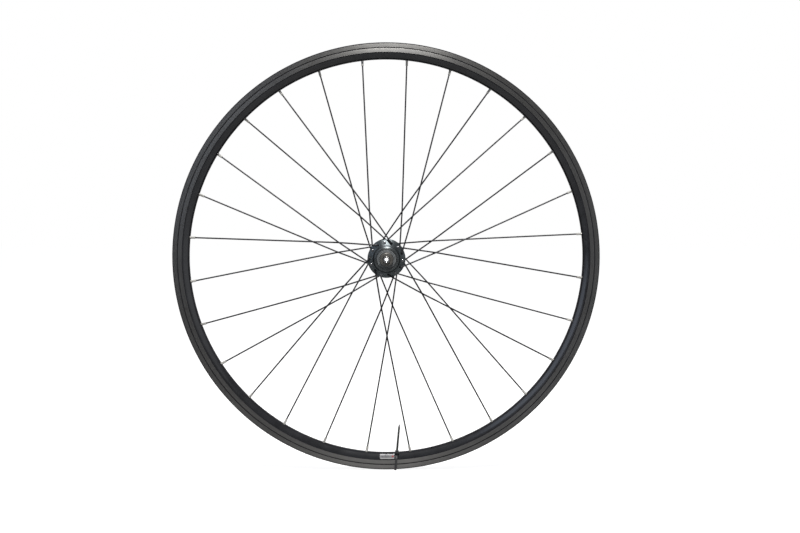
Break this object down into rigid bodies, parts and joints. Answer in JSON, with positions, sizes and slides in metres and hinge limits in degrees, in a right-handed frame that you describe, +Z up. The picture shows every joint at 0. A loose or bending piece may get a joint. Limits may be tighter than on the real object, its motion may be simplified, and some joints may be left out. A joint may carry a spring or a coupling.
{
  "type": "bicycle rear wheel",
  "caption": "Rear bicycle wheel: rim-brake rim, crossed black spokes, quick-release hub on sealed bearings and a freehub for the cassette.",
  "frame": {"origin": "centre of the wheel: on the axle's centre line, in the rim's mid plane, midway between the dropout faces", "axes": "+Y along the axle towards the drive side (freehub), -Y towards the left side, +Z up, +X to the right seen from the left side"},
  "size_m": [0.633, 0.141, 0.6343],
  "materials": {
    "rim_anodised": "black anodised, brushed brake tracks",
    "rim_tape": "woven adhesive tape",
    "label": "plain silver sticker",
    "tie_nylon": "moulded black nylon",
    "spoke_black": "black stainless wire, silver nipples",
    "hub_anodised": "polished black anodised",
    "axle_steel": "turned steel",
    "end_cap": "black anodised, turned",
    "bearing_steel": "ground steel",
    "seal_rubber": "moulded seal",
    "freehub_alloy": "machined, bare",
    "ratchet_steel": "hardened steel"
  },
  "bodies": {
    "axle_set": {"axle": "axle_steel", "left_end_cap": "end_cap", "right_end_cap": "end_cap", "left_bearing_inner_race": "bearing_steel", "right_bearing_inner_race": "bearing_steel", "drive_side_spacer": "bearing_steel", "freehub_inner_bearing_inner_race": "bearing_steel", "freehub_outer_bearing_inner_race": "bearing_steel", "freehub_inner_spacer": "bearing_steel"},
    "wheel": {"rim": "rim_anodised", "rim_tape": "rim_tape", "rim_label": "label", "cable_tie": "tie_nylon", "spoke_01": "spoke_black", "spoke_02": "spoke_black", "spoke_03": "spoke_black", "spoke_04": "spoke_black", "spoke_05": "spoke_black", "spoke_06": "spoke_black", "spoke_07": "spoke_black", "spoke_08": "spoke_black", "spoke_09": "spoke_black", "spoke_10": "spoke_black", "spoke_11": "spoke_black", "spoke_12": "spoke_black", "spoke_13": "spoke_black", "spoke_14": "spoke_black", "spoke_15": "spoke_black", "spoke_16": "spoke_black", "spoke_17": "spoke_black", "spoke_18": "spoke_black", "spoke_19": "spoke_black", "spoke_20": "spoke_black", "spoke_21": "spoke_black", "spoke_22": "spoke_black", "spoke_23": "spoke_black", "spoke_24": "spoke_black", "spoke_25": "spoke_black", "spoke_26": "spoke_black", "spoke_27": "spoke_black", "spoke_28": "spoke_black", "hub_shell": "hub_anodised", "left_bearing_outer_race": "bearing_steel", "right_bearing_outer_race": "bearing_steel", "left_bearing_seal": "seal_rubber", "ratchet_ring": "ratchet_steel"},
    "left_bearing_cage": {"left_bearing_balls": "bearing_steel"},
    "right_bearing_cage": {"right_bearing_balls": "bearing_steel"},
    "freehub": {"freehub_body": "freehub_alloy", "freehub_seal": "seal_rubber", "freehub_inner_bearing_outer_race": "bearing_steel", "freehub_outer_bearing_outer_race": "bearing_steel", "freehub_outer_spacer": "bearing_steel", "pawl_spring": "ratchet_steel"},
    "freehub_inner_cage": {"freehub_inner_bearing_balls": "bearing_steel"},
    "freehub_outer_cage": {"freehub_outer_bearing_balls": "bearing_steel"},
    "pawl_a": {"pawl_1": "ratchet_steel"},
    "pawl_b": {"pawl_2": "ratchet_steel"},
    "pawl_c": {"pawl_3": "ratchet_steel"}
  },
  "joints": [
    {"name": "wheel_spin", "type": "hinge", "parent": "axle_set", "child": "wheel", "pos_m": [0, 0, 0], "axis": [0, 1, 0], "continuous": true},
    {"name": "left_bearing_spin", "type": "hinge", "parent": "axle_set", "child": "left_bearing_cage", "pos_m": [0, 0, 0], "axis": [0, 1, 0], "continuous": true},
    {"name": "right_bearing_spin", "type": "hinge", "parent": "axle_set", "child": "right_bearing_cage", "pos_m": [0, 0, 0], "axis": [0, 1, 0], "continuous": true},
    {"name": "freehub_spin", "type": "hinge", "parent": "axle_set", "child": "freehub", "pos_m": [0, 0, 0], "axis": [0, 1, 0], "continuous": true},
    {"name": "freehub_inner_bearing_spin", "type": "hinge", "parent": "axle_set", "child": "freehub_inner_cage", "pos_m": [0, 0, 0], "axis": [0, 1, 0], "continuous": true},
    {"name": "freehub_outer_bearing_spin", "type": "hinge", "parent": "axle_set", "child": "freehub_outer_cage", "pos_m": [0, 0, 0], "axis": [0, 1, 0], "continuous": true},
    {"name": "pawl_a_pivot", "type": "hinge", "parent": "freehub", "child": "pawl_a", "pos_m": [0.0117, 0.024, 0], "axis": [0, 1, 0], "range_deg": [0, 12]},
    {"name": "pawl_b_pivot", "type": "hinge", "parent": "freehub", "child": "pawl_b", "pos_m": [-0.00585, 0.024, 0.01013], "axis": [0, 1, 0], "range_deg": [0, 12]},
    {"name": "pawl_c_pivot", "type": "hinge", "parent": "freehub", "child": "pawl_c", "pos_m": [-0.00585, 0.024, -0.01013], "axis": [0, 1, 0], "range_deg": [0, 12]}
  ],
  "couplings": [
    {"joint": "left_bearing_spin", "follows": "wheel_spin", "ratio": 0.5814},
    {"joint": "right_bearing_spin", "follows": "wheel_spin", "ratio": 0.5814},
    {"joint": "freehub_inner_bearing_spin", "follows": "freehub_spin", "ratio": 0.5561},
    {"joint": "freehub_outer_bearing_spin", "follows": "freehub_spin", "ratio": 0.5561},
    {"joint": "pawl_b_pivot", "follows": "pawl_a_pivot", "ratio": 1},
    {"joint": "pawl_c_pivot", "follows": "pawl_a_pivot", "ratio": 1}
  ]
}
